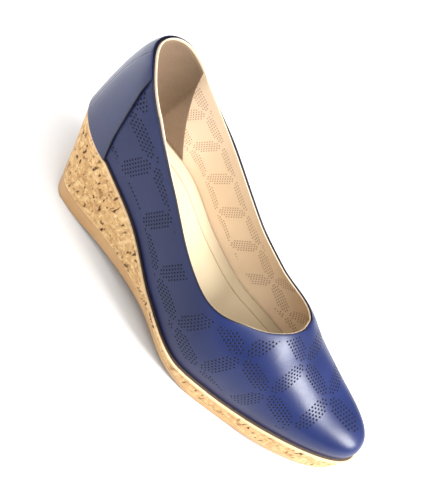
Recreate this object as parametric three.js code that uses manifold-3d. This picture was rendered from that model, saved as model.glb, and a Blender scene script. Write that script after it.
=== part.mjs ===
// A woman's slip-on wedge pump for the right foot: a cork-covered wedge with a built-in platform,
// a rubber outsole, a hollow leather upper open at the collar and underneath, a smooth heel counter
// laid over its back, and a sock insole on the footbed.
// Millimetres, +X to the toe, +Y to the inner side of the foot, +Z up, standing on the ground plane.
import * as THREE from "three";
import { mergeVertices } from "three/addons/utils/BufferGeometryUtils.js";
import Module from "manifold-3d";

const wasm = await Module();
wasm.setup();

// Driving dimensions
const lastLength = 240; // heel back to toe tip along the feather line, where upper and sole meet
const ballWidth = 72; // upper's width across the ball, with the swell of its sides
const heelRadius = 27.6; // from the heel back to the centre of its round
const seatHeight = 52; // feather line over the ground at the heel back
const platformHeight = 13; // feather line over the ground under the ball
const toeSpring = 15.5; // rise of the feather line from the ball to the toe tip
const instepHeight = 46; // crown of the last over the feather line at the throat
const collarHeight = 60; // collar's rise at the heel back, give or take the table's share
const collarLean = 0.13; // slope across the shoe at which the throat falls towards the inner side
const toeOffset = 2.5; // toe tip towards the inner side
const pointedness = 53; // length over which the toe rounds off
const sideBulge = 2.6; // how far the wall swells past the feather line on its way up
const heelBulge = 3.1; // the same at the heel's back
const wallThickness = 1.8; // leather and lining together
const counterThickness = 1.2;
const counterLength = 25; // heel back to the counter's front edge at the feather line
const counterSkew = 12; // degrees the counter's front edge is turned, further forward on the inner side
const insoleThickness = 2.2;
const fitGap = 0.3; // clearance between pieces that are glued together
const soleLedge = 3; // how far the cork stands out past the upper, from the waist to the toe
const heelLedge = 1.2; // the same at the heel's back
const flareWidth = 0.9; // further spread of the sole's side at ground level
const undercutWidth = 3; // how far the sole's lower edge is drawn in under the waist
const heelTuck = 19; // how far the heel's back edge is tucked under at ground level
const heelRubber = 9.5; // outsole thickness at the heel back
const forefootRubber = 3; // outsole thickness under the ball
const archHeight = 10; // rise of the outsole over the ground at the waist
const edgeRound = 0.8; // bevel round the outsole's ground edge and the insole's top edge

// Sections of the last, heel to toe. at is a share of lastLength; inner, outer and ridge are shares of
// ballWidth; seat is the share of the drop from seatHeight to platformHeight; spring a share of
// toeSpring; crown a share of instepHeight; fullness is the exponent of a section's curve.
const sections = [
  { at: 0.117, inner: 0.285, outer: 0.26, ridge: 0, seat: 0.92, spring: 0, crown: 1.92, fullness: 0.49 },
  { at: 0.25, inner: 0.378, outer: 0.333, ridge: 0, seat: 0.7, spring: 0, crown: 1.81, fullness: 0.47 },
  { at: 0.4, inner: 0.393, outer: 0.457, ridge: 0.019, seat: 0.263, spring: 0, crown: 1.56, fullness: 0.52 },
  { at: 0.55, inner: 0.403, outer: 0.546, ridge: 0.048, seat: 0, spring: 0, crown: 1.17, fullness: 0.67 },
  { at: 0.658, inner: 0.423, outer: 0.483, ridge: 0.064, seat: 0, spring: 0, crown: 1.08, fullness: 0.82 },
  { at: 0.742, inner: 0.415, outer: 0.411, ridge: 0.076, seat: 0, spring: 0.08, crown: 0.84, fullness: 0.82 },
  { at: 0.829, inner: 0.378, outer: 0.345, ridge: 0.073, seat: 0, spring: 0.39, crown: 0.61, fullness: 0.77 },
  { at: 1, inner: 0.315, outer: 0.242, ridge: 0.069, seat: 0, spring: 1, crown: 0.48, fullness: 0.69 },
];
const dome = 0.9; // exponent of how fast a section gains height

// Collar seen from the side. at is a share of lastLength, rise a share of collarHeight over the platform,
// lean a share of collarLean.
const collarLine = [
  { at: -0.01, rise: 1.695, lean: 0 },
  { at: 0.03, rise: 1.665, lean: 0 },
  { at: 0.08, rise: 1.555, lean: 0 },
  { at: 0.163, rise: 1.342, lean: 0 },
  { at: 0.26, rise: 1.114, lean: 0 },
  { at: 0.375, rise: 0.89, lean: 0 },
  { at: 0.45, rise: 0.779, lean: 0.25 },
  { at: 0.53, rise: 0.749, lean: 0.55 },
  { at: 0.595, rise: 0.772, lean: 0.8 },
  { at: 0.64, rise: 0.815, lean: 0.97 },
  { at: 0.72, rise: 0.845, lean: 1 },
];

// Underside of the outsole. lift is a share of archHeight, spring of toeSpring, rubber of the
// outsole's extra thickness at the heel, and undercut of undercutWidth.
const tread = [
  { at: -0.04, lift: 0, spring: 0, rubber: 1, undercut: 0 },
  { at: 0.15, lift: 0, spring: 0, rubber: 1, undercut: 0.2 },
  { at: 0.25, lift: 0.5, spring: 0, rubber: 0.95, undercut: 0.7 },
  { at: 0.4, lift: 1.1, spring: 0, rubber: 0.42, undercut: 1 },
  { at: 0.55, lift: 0.35, spring: 0, rubber: 0.04, undercut: 0.4 },
  { at: 0.63, lift: 0, spring: 0, rubber: 0, undercut: 0 },
  { at: 0.73, lift: 0, spring: 0, rubber: 0, undercut: 0 },
  { at: 0.83, lift: 0, spring: 0.16, rubber: 0, undercut: 0 },
  { at: 1, lift: 0, spring: 0.63, rubber: 0, undercut: 0 },
];

// Counter's front edge seen from the side. down is the share of the way from the collar to the
// feather line, at a share of counterLength.
const counterEdge = [
  { down: -0.3, at: 0.31 },
  { down: 0, at: 0.455 },
  { down: 0.16, at: 0.515 },
  { down: 0.3, at: 0.6 },
  { down: 0.54, at: 0.735 },
  { down: 0.73, at: 0.835 },
  { down: 0.9, at: 0.95 },
  { down: 1.2, at: 1.16 },
];

// Smooth curve through one column of a table, over the column named by key.
function smooth(table, key, column, at) {
  const count = table.length;
  const slopeOf = (i) => (table[i + 1][column] - table[i][column]) / (table[i + 1][key] - table[i][key]);
  const tangent = (i) => {
    if (i === 0) return slopeOf(0);
    if (i === count - 1) return slopeOf(count - 2);
    const before = table[i][key] - table[i - 1][key];
    const after = table[i + 1][key] - table[i][key];
    return (slopeOf(i - 1) * after + slopeOf(i) * before) / (before + after);
  };
  let i = 0;
  while (i < count - 2 && at > table[i + 1][key]) i++;
  const from = table[i];
  const to = table[i + 1];
  if (at < from[key]) return from[column] + (at - from[key]) * tangent(0);
  if (at > to[key]) return to[column] + (at - to[key]) * tangent(count - 1);
  const span = to[key] - from[key];
  const t = (at - from[key]) / span;
  return (
    from[column] * (2 * t ** 3 - 3 * t ** 2 + 1) +
    tangent(i) * span * (t ** 3 - 2 * t ** 2 + t) +
    to[column] * (3 * t ** 2 - 2 * t ** 3) +
    tangent(i + 1) * span * (t ** 3 - t ** 2)
  );
}

const share = (x) => x / lastLength;
const section = (column, x) => smooth(sections, "at", column, share(x));

// Height of the feather line over the ground.
function featherHeight(x) {
  const firstX = sections[0].at * lastLength;
  const slope = (1 - sections[0].seat) / firstX;
  const seat = x < firstX ? 1 - slope * x : Math.max(section("seat", x), 0);
  const spring = Math.max(section("spring", x), 0);
  return platformHeight + (seatHeight - platformHeight) * seat + toeSpring * spring;
}

const collarZ = (x) => platformHeight + collarHeight * smooth(collarLine, "at", "rise", share(x));

// Ground line of the outsole, held at zero under the heel and the ball so that both rest flat.
function groundHeight(x) {
  const lift = Math.max(smooth(tread, "at", "lift", share(x)), 0);
  return archHeight * lift + toeSpring * Math.max(smooth(tread, "at", "spring", share(x)), 0);
}

const rubberThickness = (x) =>
  forefootRubber + (heelRubber - forefootRubber) * Math.max(smooth(tread, "at", "rubber", share(x)), 0);

// A station is a vertical half plane that cuts the shoe: an origin on the last's ridge line, a
// direction outwards in plan, and the size of the section there. inset moves the wall inwards.
function crossStation(x, side, inset) {
  const start = lastLength - pointedness;
  const run = Math.min(Math.max((x - start) / (lastLength - inset - start), 0), 1);
  const closing = Math.sqrt(Math.max(1 - run * run, 0));
  const plan = closing ** 0.82;
  const half = ballWidth * section(side > 0 ? "inner" : "outer", x) - inset;
  const ridge = ballWidth * section("ridge", x);
  const y = side * half * plan + toeOffset * (1 - plan);
  return {
    x,
    y: ridge * plan + toeOffset * (1 - plan),
    dx: 0,
    dy: side,
    reach: Math.abs(y - ridge * plan - toeOffset * (1 - plan)),
    crown: (instepHeight * section("crown", x) - inset) * closing ** 0.62,
    fullness: section("fullness", x),
    bulge: sideBulge * closing,
    feather: featherHeight(x),
  };
}

function heelStation(angle, side, inset, tuck) {
  const half = ballWidth * sections[0][side > 0 ? "inner" : "outer"];
  const dx = -Math.cos(angle);
  const dy = side * Math.sin(angle);
  const roundness = 1.92; // a little more pointed than an ellipse
  const depth = (Math.abs(dx) / (heelRadius - tuck)) ** roundness;
  const reach = (depth + (Math.abs(dy) / half) ** roundness) ** (-1 / roundness) - inset;
  const feather = featherHeight(heelRadius + dx * reach);
  return {
    x: heelRadius,
    y: 0,
    dx,
    dy,
    reach,
    crown: instepHeight * sections[0].crown - inset + featherHeight(heelRadius) - feather,
    fullness: sections[0].fullness,
    bulge: sideBulge + (heelBulge - sideBulge) * dx * dx,
    feather,
  };
}

// Point of the last's wall: angle 0 at the feather line, a quarter turn at the ridge.
function wallPoint(s, angle) {
  const out = (s.reach + s.bulge * Math.sin(2 * angle)) * Math.max(Math.cos(angle), 0) ** s.fullness;
  return [s.x + s.dx * out, s.y + s.dy * out, s.feather + s.crown * Math.sin(angle) ** dome];
}

const fanCount = 9; // stations round the heel
const crossCount = 34; // stations from the heel to the toe tip

// Pair of stations, on the outer and the inner side. They run from the heel back to the toe tip.
// tuck is how far the heel's back is moved forward.
function stationPairAt(i, inset, tuck) {
  if (i < fanCount) {
    const angle = (i / fanCount) * (Math.PI / 2);
    return [heelStation(angle, -1, inset, tuck), heelStation(angle, 1, inset, tuck)];
  }
  const run = lastLength - inset - heelRadius;
  const x = heelRadius + run * Math.sin(((i - fanCount) / crossCount) * (Math.PI / 2)) ** 0.9;
  return [crossStation(x, -1, inset), crossStation(x, 1, inset)];
}

const stationPairs = (inset) =>
  Array.from({ length: fanCount + crossCount + 1 }, (_, i) => stationPairAt(i, inset, 0));

// Turns rings of points into one closed solid. Rings at both ends are folded flat or shrunk to a
// point, so no caps are needed, and triangles that shrink to nothing are dropped.
function skin(rings) {
  const places = [];
  const known = new Map();
  const idOf = (point) => {
    const key = point.map((value) => Math.round(value * 1e4)).join();
    if (!known.has(key)) {
      known.set(key, places.length / 3);
      places.push(...point);
    }
    return known.get(key);
  };
  const ids = rings.map((ring) => ring.map(idOf));
  const faces = [];
  const addFace = (a, b, c) => {
    if (a !== b && b !== c && a !== c) faces.push(a, b, c);
  };
  for (let i = 0; i + 1 < ids.length; i++) {
    const count = ids[i].length;
    for (let j = 0; j < count; j++) {
      const next = (j + 1) % count;
      addFace(ids[i][j], ids[i + 1][j], ids[i + 1][next]);
      addFace(ids[i][j], ids[i + 1][next], ids[i][next]);
    }
  }
  return new wasm.Manifold(
    new wasm.Mesh({
      numProp: 3,
      vertProperties: new Float32Array(places),
      triVerts: new Uint32Array(faces),
    }),
  );
}

// Closed form of the last, moved in by inset. Its underside is flat across, at lift over the feather line.
function lastForm(inset, lift) {
  const steps = 13;
  const column = (s) => {
    const floor = s.feather + lift;
    const points = [];
    for (let i = 0; i <= steps; i++) points.push(wallPoint(s, (i / steps) * (Math.PI / 2)));
    const [x, y] = points[0];
    return [[x, y, floor], ...points.map((point) => [point[0], point[1], Math.max(point[2], floor)])];
  };
  const rings = stationPairs(inset).map(([outer, inner]) => [
    ...column(outer),
    ...column(inner).reverse().slice(1),
  ]);
  return skin(rings);
}

// Solid of the sole between levels given from the top down: each level has an outset from the
// feather line, a height and a tuck. inset is that of the stations where the heights are taken.
function soleForm(inset, levelsAt) {
  const pairs = stationPairs(inset);
  const columnAt = (i, half) => {
    const s = pairs[i][half];
    return levelsAt(s.x + s.dx * s.reach).map(({ outset, height, tuck }) => {
      const edge = stationPairAt(i, -outset, tuck)[half];
      return [edge.x + edge.dx * edge.reach, edge.y + edge.dy * edge.reach, height];
    });
  };
  return skin(pairs.map((_, i) => [...columnAt(i, 0).reverse(), ...columnAt(i, 1)]));
}

// Level of the sole's side at a height: it flares towards the ground, is drawn in at the waist, and
// tucks under at the heel.
function sideLevel(x, height, inwards) {
  const drop = featherHeight(x) - height;
  const depth = drop / seatHeight;
  const ledge = heelLedge + (soleLedge - heelLedge) * Math.min(Math.max(x / (2 * seatHeight), 0), 1);
  const undercut = undercutWidth * Math.max(smooth(tread, "at", "undercut", share(x)), 0);
  const drawnIn = (undercut * drop) / (featherHeight(x) - groundHeight(x));
  return { outset: ledge + flareWidth * depth - drawnIn - inwards, height, tuck: heelTuck * depth };
}

// Prism across the whole shoe under a side view outline of [x, z] points. It falls towards the inner
// side at the slope that fall(x) gives.
function acrossShoe(outline, fall = () => 0) {
  const width = 2 * ballWidth;
  const shape = new THREE.Shape(outline.map(([x, z]) => new THREE.Vector2(x, z)));
  const geometry = new THREE.ExtrudeGeometry(shape, { depth: width, bevelEnabled: false, steps: 1 });
  geometry.rotateX(Math.PI / 2);
  geometry.translate(0, width / 2, 0);
  const place = geometry.attributes.position;
  for (let i = 0; i < place.count; i++) {
    place.setZ(i, place.getZ(i) - fall(place.getX(i)) * place.getY(i));
  }
  return solidOf(geometry);
}

function solidOf(geometry) {
  geometry.deleteAttribute("normal");
  geometry.deleteAttribute("uv");
  const merged = mergeVertices(geometry, 1e-4);
  return new wasm.Manifold(
    new wasm.Mesh({
      numProp: 3,
      vertProperties: new Float32Array(merged.attributes.position.array),
      triVerts: new Uint32Array(merged.index.array),
    }),
  );
}

// Everything over the collar line, from behind the heel to past the throat.
function collarCutter() {
  const steps = 40;
  const first = collarLine[0].at * lastLength - heelRadius;
  const last = lastLength * collarLine.at(-1).at;
  const top = seatHeight + 3 * collarHeight;
  const outline = [];
  for (let i = 0; i <= steps; i++) {
    const x = first + ((last - first) * i) / steps;
    outline.push([x, collarZ(x)]);
  }
  const fall = (x) => collarLean * smooth(collarLine, "at", "lean", share(x));
  return acrossShoe([...outline, [last, top], [first, top]], fall);
}

// Everything behind the counter's front edge.
function counterCutter() {
  const steps = 16;
  const edge = [];
  const middleX = counterLength / 2;
  const topZ = collarZ(middleX);
  const bottomZ = featherHeight(middleX);
  for (let i = 0; i <= steps; i++) {
    const down = -0.25 + (1.4 * i) / steps;
    edge.push([counterLength * smooth(counterEdge, "down", "at", down), topZ + (bottomZ - topZ) * down]);
  }
  const behind = -2 * heelRadius;
  const top = topZ + collarHeight;
  const prism = acrossShoe([[behind, top], [edge[0][0], top], ...edge, [behind, edge.at(-1)[1]]]);
  const half = (ballWidth * (sections[0].inner + sections[0].outer)) / 2;
  return prism.translate([0, half, 0]).rotate([0, 0, -counterSkew]).translate([0, -half, 0]);
}

function upperSolid() {
  const outside = lastForm(0, fitGap);
  const inside = lastForm(wallThickness, -platformHeight);
  return outside.subtract(inside).subtract(collarCutter());
}

function counterSolid() {
  const outside = lastForm(-fitGap - counterThickness, fitGap);
  const inside = lastForm(-fitGap, -platformHeight);
  return outside.subtract(inside).subtract(collarCutter()).intersect(counterCutter());
}

function wedgeSolid() {
  const levels = 6;
  return soleForm(-soleLedge, (x) => {
    const top = featherHeight(x);
    const bottom = groundHeight(x) + rubberThickness(x);
    const heights = Array.from({ length: levels }, (_, i) => top + ((bottom - top) * i) / (levels - 1));
    return heights.map((height) => sideLevel(x, height, 0));
  });
}

function outsoleSolid() {
  return soleForm(-soleLedge, (x) => {
    const ground = groundHeight(x);
    const top = ground + rubberThickness(x) - fitGap;
    return [sideLevel(x, top, 0), sideLevel(x, ground + edgeRound, 0), sideLevel(x, ground, edgeRound)];
  });
}

function insoleSolid() {
  const inset = wallThickness + fitGap;
  return soleForm(inset, (x) => {
    const bottom = featherHeight(x) + fitGap;
    const top = bottom + insoleThickness;
    return [
      { outset: -inset - edgeRound, height: top, tuck: 0 },
      { outset: -inset, height: top - edgeRound, tuck: 0 },
      { outset: -inset, height: bottom, tuck: 0 },
    ];
  });
}

function piece(name, solid, color, roughness) {
  const mesh = solid.getMesh();
  const geometry = new THREE.BufferGeometry();
  geometry.setAttribute("position", new THREE.BufferAttribute(new Float32Array(mesh.vertProperties), 3));
  geometry.setIndex(new THREE.BufferAttribute(new Uint32Array(mesh.triVerts), 1));
  geometry.computeVertexNormals();
  const made = new THREE.Mesh(geometry, new THREE.MeshStandardMaterial({ color, roughness, metalness: 0 }));
  made.name = name;
  return made;
}

const shoe = new THREE.Group();
shoe.add(
  piece("outsole", outsoleSolid(), 0xb98a4e, 0.55),
  piece("cork_wedge", wedgeSolid(), 0xdcb176, 0.8),
  piece("upper", upperSolid(), 0x2b3a72, 0.35),
  piece("heel_counter", counterSolid(), 0x33437c, 0.35),
  piece("insole", insoleSolid(), 0xf0dcb8, 0.75),
);

// The part's frame has its origin at the middle of its footprint, on the ground.
const reach = new THREE.Box3().setFromObject(shoe);
const middle = reach.getCenter(new THREE.Vector3());
shoe.position.set(-middle.x, -middle.y, -reach.min.z);

export default shoe;
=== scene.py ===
import math

import bmesh
import bpy
from mathutils import Matrix, Vector


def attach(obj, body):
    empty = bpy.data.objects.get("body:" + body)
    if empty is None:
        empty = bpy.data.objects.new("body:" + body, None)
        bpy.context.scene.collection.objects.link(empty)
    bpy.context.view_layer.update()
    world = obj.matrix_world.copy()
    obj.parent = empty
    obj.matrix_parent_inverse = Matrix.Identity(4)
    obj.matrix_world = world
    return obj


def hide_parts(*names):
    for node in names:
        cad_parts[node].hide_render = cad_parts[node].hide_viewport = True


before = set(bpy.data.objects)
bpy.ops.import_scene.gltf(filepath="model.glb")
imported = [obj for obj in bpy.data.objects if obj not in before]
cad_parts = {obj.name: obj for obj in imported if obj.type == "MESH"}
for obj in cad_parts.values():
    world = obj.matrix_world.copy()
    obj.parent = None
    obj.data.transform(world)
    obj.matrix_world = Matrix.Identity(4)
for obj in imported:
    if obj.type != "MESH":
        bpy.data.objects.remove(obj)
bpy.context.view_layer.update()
bpy.ops.object.select_all(action="DESELECT")

# Sizes of the shoe in millimetres, in the last's own frame: x from the heel back to the toe,
# y to the inner side of the foot, z up from the ground.
LAST_LENGTH = 240
BALL_WIDTH = 72
HEEL_RADIUS = 27.6
SEAT_HEIGHT = 52
PLATFORM_HEIGHT = 13
TOE_SPRING = 15.5
INSTEP_HEIGHT = 46
COLLAR_HEIGHT = 60
COLLAR_LEAN = 0.13
TOE_OFFSET = 2.5
POINTEDNESS = 53
SIDE_BULGE = 2.6
HEEL_BULGE = 3.1
WALL = 1.8
COUNTER_THICKNESS = 1.2
COUNTER_LENGTH = 25
COUNTER_SKEW = 12
INSOLE_THICKNESS = 2.2
GAP = 0.3
SOLE_LEDGE = 3
HEEL_LEDGE = 1.2
FLARE_WIDTH = 0.9
UNDERCUT_WIDTH = 3
HEEL_TUCK = 19
HEEL_RUBBER = 9.5
FOREFOOT_RUBBER = 3
ARCH_HEIGHT = 10
ROUNDNESS = 1.92  # exponent of the heel's round
WALL_RISE = 0.9  # exponent of the wall's rise to the ridge
TOE_PLAN, TOE_CROWN = 0.82, 0.62  # exponents of the toe's closing, from above and from the side
THROAT_BETWEEN = (130.0, 175.0)  # x between which the throat lies
FOOTPRINT_CENTRE = (120.383, -4.327)  # of the whole shoe, where the part has its origin

SECTIONS = dict(
    at=(0.117, 0.25, 0.4, 0.55, 0.658, 0.742, 0.829, 1),
    inner=(0.285, 0.378, 0.393, 0.403, 0.423, 0.415, 0.378, 0.315),
    outer=(0.26, 0.333, 0.457, 0.546, 0.483, 0.411, 0.345, 0.242),
    ridge=(0, 0, 0.019, 0.048, 0.064, 0.076, 0.073, 0.069),
    seat=(0.92, 0.7, 0.263, 0, 0, 0, 0, 0),
    spring=(0, 0, 0, 0, 0, 0.08, 0.39, 1),
    crown=(1.92, 1.81, 1.56, 1.17, 1.08, 0.84, 0.61, 0.48),
    fullness=(0.49, 0.47, 0.52, 0.67, 0.82, 0.82, 0.77, 0.69),
)
COLLAR = dict(
    at=(-0.01, 0.03, 0.08, 0.163, 0.26, 0.375, 0.45, 0.53, 0.595, 0.64, 0.72),
    rise=(1.695, 1.665, 1.555, 1.342, 1.114, 0.89, 0.779, 0.749, 0.772, 0.815, 0.845),
    lean=(0, 0, 0, 0, 0, 0, 0.25, 0.55, 0.8, 0.97, 1),
)
TREAD = dict(
    at=(-0.04, 0.15, 0.25, 0.4, 0.55, 0.63, 0.73, 0.83, 1),
    lift=(0, 0, 0.5, 1.1, 0.35, 0, 0, 0, 0),
    spring=(0, 0, 0, 0, 0, 0, 0, 0.16, 0.63),
    rubber=(1, 1, 0.95, 0.42, 0.04, 0, 0, 0, 0),
    undercut=(0, 0.2, 0.7, 1, 0.4, 0, 0, 0, 0),
)
COUNTER_EDGE = dict(
    down=(-0.3, 0, 0.16, 0.3, 0.54, 0.73, 0.9, 1.2),
    at=(0.31, 0.455, 0.515, 0.6, 0.735, 0.835, 0.95, 1.16),
)


def smooth(table, key, column, at):
    """Smooth curve through one column of a table."""
    xs, ys = table[key], table[column]
    last = len(xs) - 1
    slope = [(ys[i + 1] - ys[i]) / (xs[i + 1] - xs[i]) for i in range(last)]

    def tangent(i):
        if i in (0, last):
            return slope[0 if i == 0 else last - 1]
        before, after = xs[i] - xs[i - 1], xs[i + 1] - xs[i]
        return (slope[i - 1] * after + slope[i] * before) / (before + after)

    if at < xs[0]:
        return ys[0] + (at - xs[0]) * tangent(0)
    if at > xs[last]:
        return ys[last] + (at - xs[last]) * tangent(last)
    i = 0
    while i < last - 1 and at > xs[i + 1]:
        i += 1
    span = xs[i + 1] - xs[i]
    t = (at - xs[i]) / span
    return (
        ys[i] * (2 * t**3 - 3 * t**2 + 1)
        + tangent(i) * span * (t**3 - 2 * t**2 + t)
        + ys[i + 1] * (3 * t**2 - 2 * t**3)
        + tangent(i + 1) * span * (t**3 - t**2)
    )


def section(column, x):
    return smooth(SECTIONS, "at", column, x / LAST_LENGTH)


def feather_height(x):
    first = SECTIONS["at"][0] * LAST_LENGTH
    seat = 1 - (1 - SECTIONS["seat"][0]) / first * x if x < first else max(section("seat", x), 0)
    spring = TOE_SPRING * max(section("spring", x), 0)
    return PLATFORM_HEIGHT + (SEAT_HEIGHT - PLATFORM_HEIGHT) * seat + spring


def collar_height(x, y=0.0):
    fall = COLLAR_LEAN * smooth(COLLAR, "at", "lean", x / LAST_LENGTH) * y
    return PLATFORM_HEIGHT + COLLAR_HEIGHT * smooth(COLLAR, "at", "rise", x / LAST_LENGTH) - fall


def ground_height(x):
    lift = max(smooth(TREAD, "at", "lift", x / LAST_LENGTH), 0)
    return ARCH_HEIGHT * lift + TOE_SPRING * max(smooth(TREAD, "at", "spring", x / LAST_LENGTH), 0)


def rubber_thickness(x):
    share = max(smooth(TREAD, "at", "rubber", x / LAST_LENGTH), 0)
    return FOREFOOT_RUBBER + (HEEL_RUBBER - FOREFOOT_RUBBER) * share


def narrowed(low, high, is_before, halvings=40):
    """Closes in on the value between low and high where is_before(value) stops being true."""
    for _ in range(halvings):
        middle = (low + high) / 2
        low, high = (middle, high) if is_before(middle) else (low, middle)
    return low, high


class Station:
    """A vertical half plane that cuts the shoe, and the size of the last's section there."""

    def __init__(self, x=None, angle=None, side=-1, inset=0.0, tuck=0.0):
        column = "inner" if side > 0 else "outer"
        if angle is not None:
            half = BALL_WIDTH * SECTIONS[column][0]
            self.dx, self.dy = -math.cos(angle), side * math.sin(angle)
            depth = (abs(self.dx) / (HEEL_RADIUS - tuck)) ** ROUNDNESS
            self.reach = (depth + (abs(self.dy) / half) ** ROUNDNESS) ** (-1 / ROUNDNESS) - inset
            self.x, self.y = HEEL_RADIUS, 0.0
            self.feather = feather_height(HEEL_RADIUS + self.dx * self.reach)
            crown = INSTEP_HEIGHT * SECTIONS["crown"][0] - inset
            self.crown = crown + feather_height(HEEL_RADIUS) - self.feather
            self.fullness = SECTIONS["fullness"][0]
            self.bulge = SIDE_BULGE + (HEEL_BULGE - SIDE_BULGE) * self.dx**2
            return
        start = LAST_LENGTH - POINTEDNESS
        run = min(max((x - start) / (LAST_LENGTH - inset - start), 0), 1)
        closing = math.sqrt(max(1 - run * run, 0))
        plan = closing**TOE_PLAN
        half = BALL_WIDTH * section(column, x) - inset
        ridge = BALL_WIDTH * section("ridge", x) * plan
        self.dx, self.dy = 0.0, float(side)
        self.x, self.y = x, ridge + TOE_OFFSET * (1 - plan)
        self.reach = abs(side * half * plan - ridge)
        self.crown = (INSTEP_HEIGHT * section("crown", x) - inset) * closing**TOE_CROWN
        self.fullness, self.bulge = section("fullness", x), SIDE_BULGE * closing
        self.feather = feather_height(x)

    def wall(self, angle):
        """Point of the wall: angle 0 at the feather line, a quarter turn at the ridge."""
        out = (self.reach + self.bulge * math.sin(2 * angle)) * max(math.cos(angle), 0) ** self.fullness
        height = self.crown * max(math.sin(angle), 0) ** WALL_RISE
        return Vector((self.x + self.dx * out, self.y + self.dy * out, self.feather + height))

    def top_angle(self, drop=0.0):
        """Angle where the wall meets the collar, or a quarter turn in front of the throat."""

        def is_below(angle):
            point = self.wall(angle)
            return point.z < collar_height(point.x, point.y) - drop

        top = self.wall(math.pi / 2)
        if top.z <= collar_height(top.x, top.y) - drop:
            return math.pi / 2
        return narrowed(0.0, math.pi / 2, is_below)[0]


throats = {}


def throat_x(inset, drop=0.0):
    """Where the collar crosses the ridge of the last."""

    def is_above(x):
        station = Station(x=x, inset=inset)
        return station.feather + station.crown > collar_height(x, station.y) - drop

    if (inset, drop) not in throats:
        throats[inset, drop] = narrowed(*THROAT_BETWEEN, is_above)[0]
    return throats[inset, drop]


HEEL_STEPS, QUARTER_STEPS, VAMP_STEPS = 26, 56, 56
STEPS = HEEL_STEPS + QUARTER_STEPS + VAMP_STEPS
CROWDING = 1.7  # exponent that brings the quarter's stations together at the throat


def station_at(i, side, inset, tuck=0.0, drop=0.0):
    """Station i of the fine mesh, from the heel back to the toe tip, closest together at the throat."""
    if i < HEEL_STEPS:
        return Station(angle=i / HEEL_STEPS * math.pi / 2, side=side, inset=inset, tuck=tuck)
    throat = throat_x(max(inset, 0), drop)
    if i <= HEEL_STEPS + QUARTER_STEPS:
        t = (i - HEEL_STEPS) / QUARTER_STEPS
        x = HEEL_RADIUS + (throat - HEEL_RADIUS) * (1 - (1 - t) ** CROWDING)
    else:
        t = (i - HEEL_STEPS - QUARTER_STEPS) / VAMP_STEPS
        x = throat + (LAST_LENGTH - inset - throat) * math.sin(t * math.pi / 2)
    return Station(x=x, side=side, inset=inset)


def round_the_shoe(i):
    """Station and side of column i of 2 * STEPS, from the heel along the outer side and back."""
    return (i, -1) if i <= STEPS else (2 * STEPS - i, 1)


def lengths_along(points):
    """Lengths along a line from its first point to each of its points."""
    lengths = [0.0]
    for a, b in zip(points, points[1:]):
        lengths.append(lengths[-1] + (b - a).length)
    return lengths


def at_length(points, lengths, wanted):
    """The point of a line at the wanted length from its first point."""
    k = 0
    while k < len(lengths) - 2 and lengths[k + 1] < wanted:
        k += 1
    if len(points) < 2 or lengths[k + 1] - lengths[k] < 1e-9:
        return points[min(k, len(points) - 1)]
    return points[k].lerp(points[k + 1], (wanted - lengths[k]) / (lengths[k + 1] - lengths[k]))


def in_metres(point):
    return Vector((point[0] - FOOTPRINT_CENTRE[0], point[1] - FOOTPRINT_CENTRE[1], point[2])) / 1000


BACK = in_metres((0, 0, 0))  # heel back, in the part's own frame
MERGE = 2e-6  # metres within which vertices become one
SMOOTH_ANGLE, BEVEL_ANGLE = math.radians(40), math.radians(50)


def select_only(piece):
    bpy.ops.object.select_all(action="DESELECT")
    piece.select_set(True)
    bpy.context.view_layer.objects.active = piece


def in_edit(piece, work):
    """Runs mesh operators on the whole of a piece."""
    select_only(piece)
    bpy.ops.object.mode_set(mode="EDIT")
    bpy.ops.mesh.select_all(action="SELECT")
    work()
    bpy.ops.object.mode_set(mode="OBJECT")


def apply_modifier(piece, kind, **settings):
    select_only(piece)
    modifier = piece.modifiers.new(kind.title(), kind)
    for key, value in settings.items():
        setattr(modifier, key, value)
    bpy.ops.object.modifier_apply(modifier=modifier.name)


def sheet_of(name, across, up, place):
    """A grid whose vertex (i, j) is set at place(i, j)."""
    bpy.ops.mesh.primitive_grid_add(x_subdivisions=across, y_subdivisions=up, size=1)
    piece = bpy.context.object
    piece.name = piece.data.name = name
    order = {}
    for vertex in piece.data.vertices:
        i, j = round((vertex.co.x + 0.5) * across), round((vertex.co.y + 0.5) * up)
        order[vertex.index] = (i, j)
    for vertex in piece.data.vertices:
        vertex.co = in_metres(place(*order[vertex.index]))
    return piece, order


def mark(piece, name, values):
    """Stores a number at each vertex, for the materials to read."""
    attribute = piece.data.attributes.new(name, "FLOAT", "POINT")
    for index, value in values.items():
        attribute.data[index].value = value


FOOT_MIDDLE = 0.03  # its height in metres


def facing_out(piece):
    """Turns the faces of an open wall to look away from the middle of the foot."""
    total = 0.0
    for face in piece.data.polygons:
        outward = Vector((0, face.center.y - BACK.y, 0.2 * (face.center.z - FOOT_MIDDLE)))
        total += face.area * face.normal.dot(outward)
    if total < 0:
        in_edit(piece, bpy.ops.mesh.flip_normals)


# Upper: the wall of the last from the feather line to the collar
UPPER_ROWS = 30
WALL_SAMPLES = 60
HEEL_BLEND = (35, 60)  # x over which the collar's edge changes from the heel's to the quarters'
THROAT_SLOPE = 0.7  # share of the way in front of the throat that counts as distance from its edge


def at_the_heel(x):
    """1 round the heel, falling to 0 along the quarters."""
    return min(max((HEEL_BLEND[1] - x) / (HEEL_BLEND[1] - HEEL_BLEND[0]), 0), 1)


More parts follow.
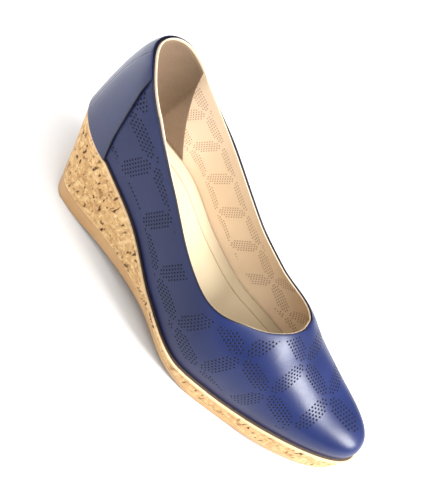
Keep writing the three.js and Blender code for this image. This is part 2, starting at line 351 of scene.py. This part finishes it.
def wall_sheet(name, inset, drop, foot):
    """One layer of the upper. drop(x) lowers its top edge and foot raises its lower edge."""
    stations = {}
    front_drop = drop(LAST_LENGTH)

    def station(i):
        index = round_the_shoe(i)
        if index not in stations:
            made = station_at(*index, inset, drop=front_drop)
            stations[index] = (made, made.top_angle(drop(made.x + made.dx * made.reach)))
        return stations[index]

    columns = {}

    def column(i):
        if i not in columns:
            made, top = station(i)
            points = [made.wall(top * (k / WALL_SAMPLES)) for k in range(WALL_SAMPLES + 1)]
            start = made.feather + foot
            kept = [p for p in points if p.z > start] or [points[-1]]
            low = points[max(len(points) - len(kept) - 1, 0)]
            if kept[0].z - low.z > 1e-6 and low.z < start:
                kept.insert(0, low.lerp(kept[0], (start - low.z) / (kept[0].z - low.z)))
            columns[i] = (kept, lengths_along(kept))
        return columns[i]

    def place(i, j):
        kept, girth = column(i)
        return at_length(kept, girth, girth[-1] * (j / UPPER_ROWS))

    piece, order = sheet_of(name, 2 * STEPS, UPPER_ROWS, place)
    rim, welt, forward = {}, {}, {}
    for index, (i, j) in order.items():
        girth = column(i)[1][-1]
        made, top = station(i)
        to_top = girth * (1 - j / UPPER_ROWS)
        in_front = top > math.pi / 2 - 1e-6
        to_throat = THROAT_SLOPE * (made.x - throat_x(inset, front_drop))
        rim[index] = max(to_top, to_throat) if in_front else to_top
        welt[index] = girth * j / UPPER_ROWS
        forward[index] = made.x
    mark(piece, "rim", rim)
    mark(piece, "welt", welt)
    mark(piece, "forward", forward)
    return piece


# In metres, in the part's own frame: how far from the heel's back the flat cut is open, the x in
# front of which it keeps the leather's size, and the x of two places on the vamp's ridge.
SEAM_REACH = 0.012
MEASURED_FROM = -0.04
RIDGE_START, RIDGE_END = (0.036, 0.044), (0.085, 0.092)


def highest(piece, between):
    """Index of the highest vertex whose x lies in a range."""
    low, high = between
    return max((v.co.z, v.index) for v in piece.data.vertices if low < v.co.x < high)[1]


def flatten_pattern(piece):
    """Unrolls the outside of the wall as a flat cut of leather, in millimetres, laid along its ridge."""
    in_edit(piece, lambda: bpy.ops.mesh.remove_doubles(threshold=MERGE))
    mesh = bmesh.new()
    mesh.from_mesh(piece.data)
    for edge in mesh.edges:
        a, b = (v.co for v in edge.verts)
        at_back = max(a.x, b.x) < BACK.x + SEAM_REACH
        in_the_middle = max(abs(a.y - BACK.y), abs(b.y - BACK.y)) < 1e-5
        edge.seam = at_back and in_the_middle and not edge.is_boundary
    mesh.to_mesh(piece.data)
    mesh.free()
    in_edit(piece, lambda: bpy.ops.uv.unwrap(method="CONFORMAL", margin=0.0))
    uv = piece.data.uv_layers.active.data
    area_flat = area_real = 0.0
    places = {}
    for face in piece.data.polygons:
        corners = [uv[k].uv.copy() for k in face.loop_indices]
        if piece.data.vertices[face.vertices[0]].co.x > MEASURED_FROM:
            area_real += face.area
            area_flat += abs(sum(a.cross(b) for a, b in zip(corners, corners[1:] + corners[:1]))) / 2
        for k, v in zip(face.loop_indices, face.vertices):
            places.setdefault(v, uv[k].uv.copy())
    scale = 1000 * math.sqrt(area_real / area_flat)
    start, end = places[highest(piece, RIDGE_START)], places[highest(piece, RIDGE_END)]
    turn = -math.atan2(end.y - start.y, end.x - start.x)
    for corner in uv:
        x, y = (corner.uv - start) * scale
        corner.uv = (x * math.cos(turn) - y * math.sin(turn), x * math.sin(turn) + y * math.cos(turn))


def as_wall(piece, thickness, rounding, segments=3, **more):
    """Gives an open sheet its thickness, inwards, and rounds its edges."""
    facing_out(piece)
    in_edit(piece, lambda: bpy.ops.mesh.remove_doubles(threshold=MERGE))
    settings = dict(thickness=thickness / 1000, offset=-1, use_even_offset=True, use_quality_normals=True)
    apply_modifier(piece, "SOLIDIFY", **settings, **more)
    settings = dict(width=rounding / 1000, segments=segments, limit_method="ANGLE", use_clamp_overlap=True)
    apply_modifier(piece, "BEVEL", **settings, angle_limit=BEVEL_ANGLE)
    select_only(piece)
    bpy.ops.object.shade_smooth_by_angle(angle=SMOOTH_ANGLE)


LEATHER = 1.0
LINING = 0.7
LEATHER_DROP = 1.3  # of the leather's edge below the collar, round the heel
LINING_DROP = 0.7  # of the lining's edge below the collar, along the quarters and the throat

upper = wall_sheet("upper_leather", 0, lambda x: LEATHER_DROP * at_the_heel(x), GAP)
flatten_pattern(upper)
as_wall(upper, LEATHER, 0.35)

lining = wall_sheet("lining", LEATHER + 0.05, lambda x: LINING_DROP * (1 - at_the_heel(x)), GAP)
flatten_pattern(lining)
as_wall(lining, LINING, 0.25)


# Counter outside and grip inside: layers round the back whose rows run to a front edge
PAST_HEEL_STEPS = 34  # stations in front of the heel's fan that such a layer may reach


def back_sheet(name, columns, rows, inset_at, drop, foot, past_front):
    """One layer round the heel, to where past_front(point) changes sign. inset_at(share) is its inset
    at a share of the way from the feather line to the collar."""
    levels = {}
    for side in (-1, 1):
        for j in range(rows + 1):
            points = []
            for i in range(HEEL_STEPS + PAST_HEEL_STEPS):
                s = station_at(i, side, inset_at(j / rows))
                top = s.top_angle(drop)
                low_z = s.feather + foot
                z = low_z + (s.wall(top).z - low_z) * j / rows
                angles = narrowed(0.0, top, lambda angle: s.wall(angle).z < z, 20)
                points.append(s.wall(sum(angles) / 2))
                if past_front(points[-1]) >= 0:
                    break
            a, b = points[-2:]
            points[-1] = a.lerp(b, past_front(a) / (past_front(a) - past_front(b)))
            levels[side, j] = (points, lengths_along(points))

    def place(i, j):
        points, girth = levels[-1 if i <= columns else 1, j]
        return at_length(points, girth, girth[-1] * abs(i - columns) / columns)

    piece, order = sheet_of(name, 2 * columns, rows, place)
    front_edge = {}
    for index, (i, j) in order.items():
        front_edge[index] = levels[-1, j][1][-1] * (1 - abs(i - columns) / columns)
    mark(piece, "front_edge", front_edge)
    return piece, order


def share_down(z, x):
    """0 at the collar, 1 at the feather line."""
    top, bottom = collar_height(x), feather_height(x)
    return (top - z) / (top - bottom)


def past_counter(point):
    """Distance of a point in front of the counter's edge, negative behind it."""
    turn = math.radians(COUNTER_SKEW)
    pivot = BALL_WIDTH * (SECTIONS["inner"][0] + SECTIONS["outer"][0]) / 2
    x = math.cos(turn) * point.x - math.sin(turn) * (point.y + pivot)
    down = share_down(point.z, COUNTER_LENGTH / 2)
    return x - COUNTER_LENGTH * smooth(COUNTER_EDGE, "down", "at", down)


GRIP_TOP, GRIP_FOOT, GRIP_BOW = 24, 54, 1.3  # x of the grip's front edge, and the edge's bend
GRIP_THICKNESS = 0.4
GRIP_INSET = WALL + 0.02  # just clear of the lining
GRIP_DROP = 0.9  # of its edge below the collar
GRIP_COLUMNS, GRIP_ROWS = 44, 24


def past_grip(point):
    """Distance of a point in front of the grip's edge, negative behind it."""
    down = share_down(point.z, point.x)
    return point.x - GRIP_TOP - (GRIP_FOOT - GRIP_TOP) * down**GRIP_BOW


grip_foot = INSOLE_THICKNESS + GAP
grip = back_sheet(
    "heel_grip", GRIP_COLUMNS, GRIP_ROWS, lambda share: GRIP_INSET, GRIP_DROP, grip_foot, past_grip)[0]
as_wall(grip, GRIP_THICKNESS, 0.15, 2)

SKIVED = 0.25  # of the counter's thickness, left at its top edge
SKIVED_HEIGHT = 0.16  # share of the counter's height over which it thins
COUNTER_DROP = 1.6  # of its edge below the collar
COUNTER_COLUMNS, COUNTER_ROWS = 60, 34


def counter_thickness(share):
    """The counter's leather is pared thin towards the collar."""
    fall = min((1 - share) / SKIVED_HEIGHT, 1)
    return COUNTER_THICKNESS * (SKIVED + (1 - SKIVED) * fall * (2 - fall))


def counter_inset(share):
    """Its outside stands off the upper by the gap and its own thickness there."""
    return -GAP - counter_thickness(share)


counter, counter_order = back_sheet(
    "counter_leather", COUNTER_COLUMNS, COUNTER_ROWS, counter_inset, COUNTER_DROP, GAP, past_counter)
pared = counter.vertex_groups.new(name="pared")
for vertex, (i, j) in counter_order.items():
    pared.add([vertex], counter_thickness(j / COUNTER_ROWS) / COUNTER_THICKNESS, "REPLACE")
as_wall(counter, COUNTER_THICKNESS, 0.45, 4, vertex_group="pared")


def away(point, a, b):
    """Distance of a point from the line between a and b."""
    along = b - a
    share = min(max((point - a).dot(along) / max(along.length_squared, 1e-12), 0), 1)
    return (point - a - along * share).length


# Sole and insole: closed bodies between levels of the feather outline
CAP_ACROSS = 48
SIDE_LEVELS = 9
PAINTED_SHADE_LEVELS = 2  # levels at a body's top marked for painted shade, where the upper meets the cork


def sole_body(name, inset, levels_at):
    """A closed body: a band round the outline at each level, capped above and below by sheets."""
    count = len(levels_at(LAST_LENGTH / 2))
    edge = {}

    def outline(i, k):
        if (i, k) not in edge:
            base = station_at(*round_the_shoe(i), inset)
            outset, height, tuck = levels_at(base.x + base.dx * base.reach)[k]
            s = station_at(*round_the_shoe(i), -outset, tuck)
            edge[i, k] = Vector((s.x + s.dx * s.reach, s.y + s.dy * s.reach, height))
        return edge[i, k]

    band, order = sheet_of(name, 2 * STEPS, count - 1, lambda i, k: outline(i, count - 1 - k))
    from_edge, glued = {}, {}
    for index, (i, k) in order.items():
        z = outline(i, count - 1 - k).z
        from_edge[index] = min(outline(i, 0).z - z, z - outline(i, count - 1).z)
        glued[index] = 1.0 if count - 1 - k < PAINTED_SHADE_LEVELS else 0.0
    mark(band, "from_edge", from_edge)
    mark(band, "glued", glued)
    parts = [band]
    for k in (0, count - 1):

        def cap(i, j, k=k):
            return outline(i, k).lerp(outline(2 * STEPS - i, k), j / CAP_ACROSS)

        sheet, order = sheet_of(name + "_cap", STEPS, CAP_ACROSS, cap)
        if k == 0:
            rim = [outline(i, 0).to_2d() for i in range(0, 2 * STEPS + 1, 3)]
            inwards = {}
            for index, (i, j) in order.items():
                here = cap(i, j).to_2d()
                inwards[index] = min(away(here, a, b) for a, b in zip(rim, rim[1:]))
            mark(sheet, "inwards", inwards)
            mark(sheet, "glued", dict.fromkeys(order, 1.0))
        parts.append(sheet)
    bpy.ops.object.select_all(action="DESELECT")
    for part in parts:
        part.select_set(True)
    bpy.context.view_layer.objects.active = band
    bpy.ops.object.join()
    in_edit(band, lambda: bpy.ops.mesh.remove_doubles(threshold=MERGE))
    in_edit(band, lambda: bpy.ops.mesh.dissolve_degenerate(threshold=1e-7))
    in_edit(band, lambda: bpy.ops.mesh.normals_make_consistent(inside=False))
    select_only(band)
    bpy.ops.object.shade_smooth_by_angle(angle=SMOOTH_ANGLE)
    return band


def side_level(x, height, inwards=0.0):
    """Outset from the feather line, height and tuck of one level of the sole's side."""
    drop = feather_height(x) - height
    depth = drop / SEAT_HEIGHT
    ledge = HEEL_LEDGE + (SOLE_LEDGE - HEEL_LEDGE) * min(max(x / (2 * SEAT_HEIGHT), 0), 1)
    undercut = UNDERCUT_WIDTH * max(smooth(TREAD, "at", "undercut", x / LAST_LENGTH), 0)
    drawn_in = undercut * drop / (feather_height(x) - ground_height(x))
    return (ledge + FLARE_WIDTH * depth - drawn_in - inwards, height, HEEL_TUCK * depth)


def wedge_levels(x):
    """From under the upper out over the ledge, then down the side."""
    top, bottom = feather_height(x), ground_height(x) + rubber_thickness(x)
    ledge = side_level(x, top)[0]
    levels = [side_level(x, top, inwards) for inwards in (ledge + 1, ledge * 0.5, ledge * 0.35, 0.4)]
    levels += [side_level(x, top - 0.12, 0.12), side_level(x, top - 0.5)]
    for k in range(1, SIDE_LEVELS + 1):
        levels.append(side_level(x, top - 0.5 + (bottom + 1 - top) * k / SIDE_LEVELS))
    return levels + [side_level(x, bottom, 0.5)]


def outsole_levels(x):
    """From the top down to the ground, with a rounded lower edge."""
    ground = ground_height(x)
    top = ground + rubber_thickness(x) - 0.05
    return [
        side_level(x, top, 0.3),
        side_level(x, top - 0.3),
        side_level(x, ground + 0.9),
        side_level(x, ground + 0.4, 0.15),
        side_level(x, ground + 0.1, 0.5),
        side_level(x, ground, 1.0),
    ]


def insole_levels(x):
    """From the top down, with a rounded upper edge."""
    bottom = feather_height(x) + GAP
    top = bottom + INSOLE_THICKNESS
    outset = -WALL - GAP
    return [
        (outset - 1.2, top, 0),
        (outset - 0.5, top - 0.2, 0),
        (outset - 0.1, top - 0.7, 0),
        (outset, bottom, 0),
    ]


wedge = sole_body("cork_cover", -SOLE_LEDGE, wedge_levels)
outsole = sole_body("rubber_outsole", -SOLE_LEDGE, outsole_levels)
insole = sole_body("sock", WALL + GAP, insole_levels)


# Materials
class Value:
    """A number that varies over the surface. The usual operators on it add Math nodes."""

    def __init__(self, tree, socket):
        self.tree, self.socket = tree, socket

    def math(self, operation, *others, first=None):
        node = self.tree.nodes.new("ShaderNodeMath")
        node.operation = operation
        terms = (self,) + others if first is None else (first, self) + others
        for entry, term in zip(node.inputs, terms):
            if isinstance(term, Value):
                self.tree.links.new(term.socket, entry)
            else:
                entry.default_value = term
        return Value(self.tree, node.outputs[0])

    def __add__(self, other):
        return self.math("ADD", other)

    def __radd__(self, other):
        return self.math("ADD", other)

    def __sub__(self, other):
        return self.math("SUBTRACT", other)

    def __rsub__(self, other):
        return self.math("SUBTRACT", first=other)

    def __mul__(self, other):
        return self.math("MULTIPLY", other)

    def __rmul__(self, other):
        return self.math("MULTIPLY", other)

    def __truediv__(self, other):
        return self.math("DIVIDE", other)

    def __pow__(self, other):
        return self.math("POWER", other)

    def __lt__(self, other):
        return self.math("LESS_THAN", other)

    def __gt__(self, other):
        return self.math("GREATER_THAN", other)

    def __abs__(self):
        return self.math("ABSOLUTE")

    def rounded(self):
        """The nearest whole number."""
        return self.math("ROUND")

    def wrapped(self, size):
        """Repeated every size, from minus half of it to plus half of it."""
        return self.math("WRAP", size / 2, -size / 2)

    def held(self):
        """Kept between 0 and 1."""
        return self.math("MAXIMUM", 0.0).math("MINIMUM", 1.0)


class Finish:
    """A material, with one method that adds any node."""

    def __init__(self, name, **constants):
        self.material = bpy.data.materials.new(name)
        self.material.use_nodes = True
        self.tree = self.material.node_tree
        self.skin = self.tree.nodes["Principled BSDF"]
        for key, value in constants.items():
            self.skin.inputs[key.replace("_", " ")].default_value = value

    def node(self, kind, settings=None, inputs=None, output=0):
        node = self.tree.nodes.new("ShaderNode" + kind)
        for key, value in (settings or {}).items():
            if key == "stops":
                ramp = node.color_ramp.elements
                while len(ramp) < len(value):
                    ramp.new(0.5)
                for element, (place, colour) in zip(ramp, value):
                    element.position, element.color = place, (*colour, 1)
            else:
                setattr(node, key, value)
        for key, value in (inputs or {}).items():
            self.feed(node.inputs[key], value)
        return Value(self.tree, node.outputs[output])

    def feed(self, entry, value):
        if isinstance(value, Value):
            self.tree.links.new(value.socket, entry)
        else:
            entry.default_value = (*value, 1) if entry.type == "RGBA" and len(value) == 3 else value

    def set(self, **inputs):
        for key, value in inputs.items():
            self.feed(self.skin.inputs[key.replace("_", " ")], value)

    def place(self, scale=(1, 1, 1), rotation=(0, 0, 0)):
        """Where a pattern is read, in the piece's own coordinates."""
        coordinates = self.node("TexCoord", output="Object")
        return self.node("Mapping", inputs={"Vector": coordinates, "Scale": scale, "Rotation": rotation})

    def first_two(self, coordinates):
        """The first two coordinates of one kind, each as a number."""
        x = self.node("SeparateXYZ", inputs={0: self.node("TexCoord", output=coordinates)})
        return x, Value(self.tree, x.socket.node.outputs[1])

    def noise(self, scale, detail, roughness=0.5, at=None):
        inputs = {"Scale": scale, "Detail": detail, "Roughness": roughness}
        inputs["Vector"] = at or self.place()
        return self.node("TexNoise", inputs=inputs)

    def cells(self, scale, at=None, output=0, feature="F1"):
        inputs = {"Scale": scale, "Vector": at or self.place()}
        return self.node("TexVoronoi", {"feature": feature}, inputs, output)

    def ramp(self, value, stops):
        return self.node("ValToRGB", {"stops": stops}, {"Fac": value})

    def between(self, value, dark, light):
        """A colour that turns from dark to light over the middle of the value's range."""
        return self.ramp(value, [(0.3, dark), (0.7, light)])

    def mix(self, share, a, b):
        return self.node("Mix", {"data_type": "RGBA"}, {0: share, 6: a, 7: b}, 2)

    def bump(self, height, distance, strength, under=None):
        """A normal for a height that is worth so many millimetres, over another normal."""
        inputs = {"Height": height, "Distance": distance / 1000, "Strength": strength}
        if under is not None:
            inputs["Normal"] = under
        return self.node("Bump", inputs=inputs)

    def attribute(self, name):
        return self.node("Attribute", {"attribute_name": name}, output=2)


CELL = 26.5  # distance between the flowers' centres
FLOWER = (-8.0, -30.0)  # one flower's centre on the flat leather
HOLE_PITCH, ROW_PITCH, HOLE_RADIUS = 2.1, 1.8, 0.6
HOLE_BLUR = 0.5  # share of a hole's area over which its edge fades
PETAL_INSET, TIP_INSET = 0.5, 1.6  # by which a petal is narrower and shorter than the circles' overlap
COLLAR_MARGIN, WELT_MARGIN = 5.5, 9.0  # widths without holes, along the collar and along the sole
TOE_START, TOE_BLEND = 195, 22  # x where the sole's margin widens, and over how much
TOE_MARGIN = 18  # by which it widens


def pinholes(finish):
    """1 in a pinhole. Petals of pinholes join the flowers' centres, as where circles overlap."""
    flat_x, flat_y = finish.first_two("UV")
    x, y = flat_x - FLOWER[0], flat_y - FLOWER[1]

    def petal(along, across):
        a = (along - CELL / 2).wrapped(CELL)
        b = across.wrapped(CELL)
        row = (b / ROW_PITCH).rounded()
        shift = abs(row).math("MODULO", 2.0) * (HOLE_PITCH / 2)
        hole_a = ((a - shift) / HOLE_PITCH).rounded() * HOLE_PITCH + shift
        hole_b = row * ROW_PITCH
        far = (a - hole_a) ** 2 + (b - hole_b) ** 2
        lens = hole_a**2 + (abs(hole_b) + CELL / 2) ** 2
        in_lens = lens < (CELL / math.sqrt(2) - PETAL_INSET) ** 2
        inside = in_lens * (abs(hole_a) < CELL / 2 - TIP_INSET)
        edge = ((HOLE_RADIUS**2 - far) / (HOLE_BLUR * HOLE_RADIUS**2)).held()
        return edge * inside

    rim, welt, forward = (finish.attribute(k) for k in ("rim", "welt", "forward"))
    toe_margin = ((forward - TOE_START) / TOE_BLEND).held() * TOE_MARGIN
    allowed = (rim > COLLAR_MARGIN) * (welt - toe_margin > WELT_MARGIN)
    return petal(x, y).math("MAXIMUM", petal(y, x)) * allowed


STRIP_HALF = 8.5  # from the heel's middle to the edge of the strip down its back


def navy_leather(name, with_holes):
    shine = 0.22 if with_holes else 0.34
    finish = Finish(name, Specular_IOR_Level=shine, Coat_Roughness=0.22, Coat_IOR=1.4)
    cloud = finish.noise(26, 3)
    grain = finish.cells(1500)
    crease = finish.noise(420, 4, 0.6)
    colour = finish.between(cloud, (0.008, 0.014, 0.064), (0.012, 0.021, 0.09))
    rough = 0.36 + (cloud - 0.5) * 0.16 + (crease - 0.5) * 0.10
    normal = finish.bump(grain * 0.35 + crease * 0.65, 0.10, 0.45)
    coat = shine - 0.14 + (cloud - 0.5) * 0.15
    if with_holes:
        rim, welt = finish.attribute("rim"), finish.attribute("welt")
        # near-black within about a millimetre of the collar and of the sole: at the collar dark edge
        # colour with painted shade in the gap to the lining, along the sole painted shade where the upper
        # meets the cork
        edge = (1 - (rim.math("MINIMUM", welt * 0.8) - 0.3) * 1.6).held()
    else:
        aside = abs(finish.first_two("Object")[1] - BACK.y) * 1000
        strip_edge = (1 - abs(aside - STRIP_HALF) * 2.2).held() * 0.7
        seam = (1 - aside * 1.4).held().math("MAXIMUM", strip_edge)
        # near-black within about a millimetre of the counter's front edge, painted shade for the shadow
        # line there, and darker down the back seam and the strip's edges
        edge = (1.3 - finish.attribute("front_edge")).held().math("MAXIMUM", seam * 0.7)
        normal = finish.bump(1 - seam, 0.4, 0.8, normal)
    # mixes in the near-black of the edges and seams above, painted shade included
    colour = finish.mix(edge * 0.9, colour, (0.006, 0.006, 0.014))
    if with_holes:
        hole = pinholes(finish)
        # pinholes painted near-black: painted shade inside the holes, with a bump
        colour = finish.mix(hole, colour, (0.004, 0.005, 0.012))
        rough = rough * (1 - hole) + 0.9 * hole
        coat = coat * (1 - hole)
        normal = finish.bump(1 - hole, 0.5, 0.9, normal)
    finish.set(Base_Color=colour, Roughness=rough.held(), Coat_Weight=coat.held(), Normal=normal)
    return finish.material


def lining_leather():
    finish = Finish("beige_lining", Specular_IOR_Level=0.35)
    cloud = finish.noise(22, 3)
    fine = finish.noise(700, 3, 0.6)
    colour = finish.between(cloud, (0.78, 0.61, 0.435), (0.87, 0.71, 0.535))
    hole = pinholes(finish)
    # pinholes painted dark brown: painted shade inside the holes
    colour = finish.mix(hole * 0.7, colour, (0.27, 0.13, 0.06))
    # darker within about 0.8 mm of the lining's top edge: painted shade on its rim
    turned = (1 - finish.attribute("rim") * 1.2).held()
    colour = finish.mix(turned * 0.6, colour, (0.42, 0.32, 0.22))
    normal = finish.bump(fine, 0.08, 0.5)
    normal = finish.bump(1 - hole, 0.35, 0.8, normal)
    finish.set(Base_Color=colour, Roughness=0.62 + (fine - 0.5) * 0.2, Normal=normal)
    return finish.material


def suede():
    finish = Finish("heel_grip_suede", Specular_IOR_Level=0.2)
    cloud = finish.noise(40, 4, 0.6)
    nap = finish.noise(1600, 2, 0.7)
    colour = finish.between(cloud, (0.19, 0.128, 0.082), (0.24, 0.165, 0.11))
    tips = finish.between(nap, (0.13, 0.085, 0.052), (0.29, 0.215, 0.15))
    colour = finish.mix(0.25, colour, tips)
    finish.set(Base_Color=colour, Roughness=0.92 + (nap - 0.5) * 0.1, Normal=finish.bump(nap, 0.15, 0.6))
    return finish.material


GRANULES = 420  # of the cork, to a metre
FLECK_LEAN = math.radians(14)


def cork():
    finish = Finish("cork_sheet", Specular_IOR_Level=0.3)
    squeezed = finish.place(scale=(1, 1, 1.4))
    granule = finish.cells(GRANULES, squeezed, output=1)
    tone = finish.node("SeparateColor", inputs={0: granule})
    gap = finish.cells(GRANULES, squeezed, feature="DISTANCE_TO_EDGE")
    cloud = finish.noise(70, 3)
    slanted = finish.place(scale=(1.0, 1.0, 0.4), rotation=(0, FLECK_LEAN, 0))
    fleck = finish.noise(470, 1.5, 0.5, slanted)
    streak = finish.noise(1150, 2.0, 0.6, slanted)
    patchy = ((finish.noise(120, 2) - 0.38) * 6).held()
    dark = ((fleck - 0.595) * 22).held() * patchy
    light = ((0.40 - fleck) * 14).held()
    brown = ((fleck - 0.57) * 10).held() * 0.55 + ((streak - 0.62) * 10).held() * 0.5
    stops = [(0.0, (0.42, 0.225, 0.08)), (0.3, (0.58, 0.34, 0.13))]
    stops += [(0.7, (0.69, 0.435, 0.185)), (1.0, (0.79, 0.55, 0.28))]
    colour = finish.ramp(tone, stops)
    shade = finish.between(cloud, (0.44, 0.24, 0.085), (0.66, 0.43, 0.19))
    colour = finish.mix(0.35, colour, shade)
    colour = finish.mix((1 - (gap * 9).held()) * 0.22, colour, (0.42, 0.2, 0.07))
    colour = finish.mix(light * 0.5, colour, (0.84, 0.66, 0.34))
    colour = finish.mix(brown.held(), colour, (0.33, 0.155, 0.045))
    colour = finish.mix(dark * 0.94, colour, (0.07, 0.03, 0.010))
    trim = (1.7 - finish.attribute("from_edge")).held()
    colour = finish.mix(trim * 0.6, colour, (0.74, 0.54, 0.33))
    # near-black on the ledge's inner half and under the upper: painted shade where the upper meets the
    # cork
    colour = finish.mix(finish.attribute("glued") * 0.95, colour, (0.022, 0.014, 0.014))
    height = tone * 0.2 + (gap * 6).held() * 0.3 - dark * 0.9 - brown * 0.25
    finish.set(Base_Color=colour, Roughness=0.62 + dark * 0.25, Normal=finish.bump(height, 0.22, 0.6))
    return finish.material


def tan_rubber():
    finish = Finish("tan_rubber", Specular_IOR_Level=0.45)
    cloud = finish.noise(35, 3)
    fine = finish.noise(900, 3, 0.6)
    colour = finish.between(cloud, (0.47, 0.26, 0.10), (0.58, 0.34, 0.145))
    finish.set(Base_Color=colour, Roughness=0.45 + (fine - 0.5) * 0.2, Normal=finish.bump(fine, 0.08, 0.4))
    return finish.material


STITCH_INSET = 6.5  # from the sock's rim to its stitched line
STITCH_WIDTH = 0.55


def cream_leather():
    finish = Finish("cream_sock", Specular_IOR_Level=0.35)
    cloud = finish.noise(18, 3)
    fine = finish.noise(650, 4, 0.6)
    colour = finish.between(cloud, (0.47, 0.385, 0.255), (0.53, 0.45, 0.31))
    line = (1 - abs(finish.attribute("inwards") - STITCH_INSET) / STITCH_WIDTH).held()
    colour = finish.mix(line * 0.6, colour, (0.38, 0.25, 0.13))
    normal = finish.bump(1 - line, 0.5, 0.9, finish.bump(fine, 0.1, 0.5))
    finish.set(Base_Color=colour, Roughness=0.6 + (fine - 0.5) * 0.2, Normal=normal)
    return finish.material


def give(piece, material):
    piece.data.materials.clear()
    piece.data.materials.append(material)


give(upper, navy_leather("navy_perforated", True))
give(counter, navy_leather("navy_smooth", False))
give(lining, lining_leather())
give(grip, suede())
give(wedge, cork())
give(outsole, tan_rubber())
give(insole, cream_leather())

for piece, node, slot in (
    (upper, "upper", "upper_leather"),
    (counter, "heel_counter", "counter_leather"),
    (wedge, "cork_wedge", "cork"),
    (outsole, "outsole", "outsole_rubber"),
    (insole, "insole", "insole_leather"),
    (lining, None, "upper_leather"),
    (grip, None, "upper_leather"),
):
    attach(piece, "root")
    if node:
        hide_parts(node)

# Floor, light and camera
bpy.ops.mesh.primitive_plane_add(size=6, location=(0, 0, 0))
floor = bpy.context.object
floor.name = "floor"
give(floor, Finish("pale_floor", Roughness=0.8, Base_Color=(0.62, 0.62, 0.62, 1)).material)

world = bpy.data.worlds.new("studio")
bpy.context.scene.world = world
world.use_nodes = True
background = world.node_tree.nodes["Background"]
background.inputs["Color"].default_value = (1, 1, 1, 1)
background.inputs["Strength"].default_value = 0.4


def softbox(name, place, target, size, power, spread=180):
    bpy.ops.object.light_add(type="AREA", location=place)
    light = bpy.context.object
    light.name = name
    light.data.shape = "RECTANGLE"
    light.data.size, light.data.size_y = size
    light.data.energy = power
    light.data.spread = math.radians(spread)
    light.rotation_euler = (Vector(place) - Vector(target)).to_track_quat("Z", "Y").to_euler()


softbox("toe_strip", (0.76, 0.02, 0.62), (0.05, 0, 0.05), (0.36, 0.5), 24)
softbox("overhead", (-0.05, -0.28, 0.9), (0, 0, 0.04), (0.9, 0.7), 7.5)
softbox("heel_side", (-0.62, -0.5, 0.5), (-0.06, 0, 0.06), (0.4, 0.4), 1.3)
softbox("floor_behind_heel", (-0.34, -0.02, 0.4), (-0.34, -0.02, 0), (0.2, 0.3), 1.2, 60)

AZIMUTH, ELEVATION, ROLL = (math.radians(a) for a in (-16.9, 50.4, 64.4))
DISTANCE = 0.474
LOOK_AT = in_metres((120, 0, 40))
PIXELS_PER_MM = 1.002  # at that distance, in the photograph's frame
TARGET = (143.8, 246.0)  # where the photograph shows the point looked at
FRAME = (430, 497)
ZOOM = 1.87  # the shoe fills the frame
MIDDLE = (135, 224.9)  # middle of the new frame, in the photograph
level = math.cos(ELEVATION)
back = Vector((math.sin(AZIMUTH) * level, -math.cos(AZIMUTH) * level, math.sin(ELEVATION)))
level_right = Vector((0, 0, 1)).cross(back).normalized()
level_up = back.cross(level_right)
right = math.cos(ROLL) * level_right + math.sin(ROLL) * level_up
up = -math.sin(ROLL) * level_right + math.cos(ROLL) * level_up
camera_data = bpy.data.cameras.new("camera")
camera = bpy.data.objects.new("camera", camera_data)
bpy.context.scene.collection.objects.link(camera)
turned = Matrix((right, up, back)).transposed().to_4x4()
camera.matrix_world = Matrix.Translation(LOOK_AT + back * DISTANCE) @ turned
camera_data.sensor_width = 36
distance_mm = 1000 * DISTANCE
camera_data.lens = distance_mm * PIXELS_PER_MM * ZOOM / FRAME[1] * camera_data.sensor_width
camera_data.shift_x = (MIDDLE[0] - TARGET[0]) * ZOOM / FRAME[1]
camera_data.shift_y = (TARGET[1] - MIDDLE[1]) * ZOOM / FRAME[1]
camera_data.clip_start = 0.01
bpy.context.scene.camera = camera
bpy.context.scene.view_settings.view_transform = "Standard"
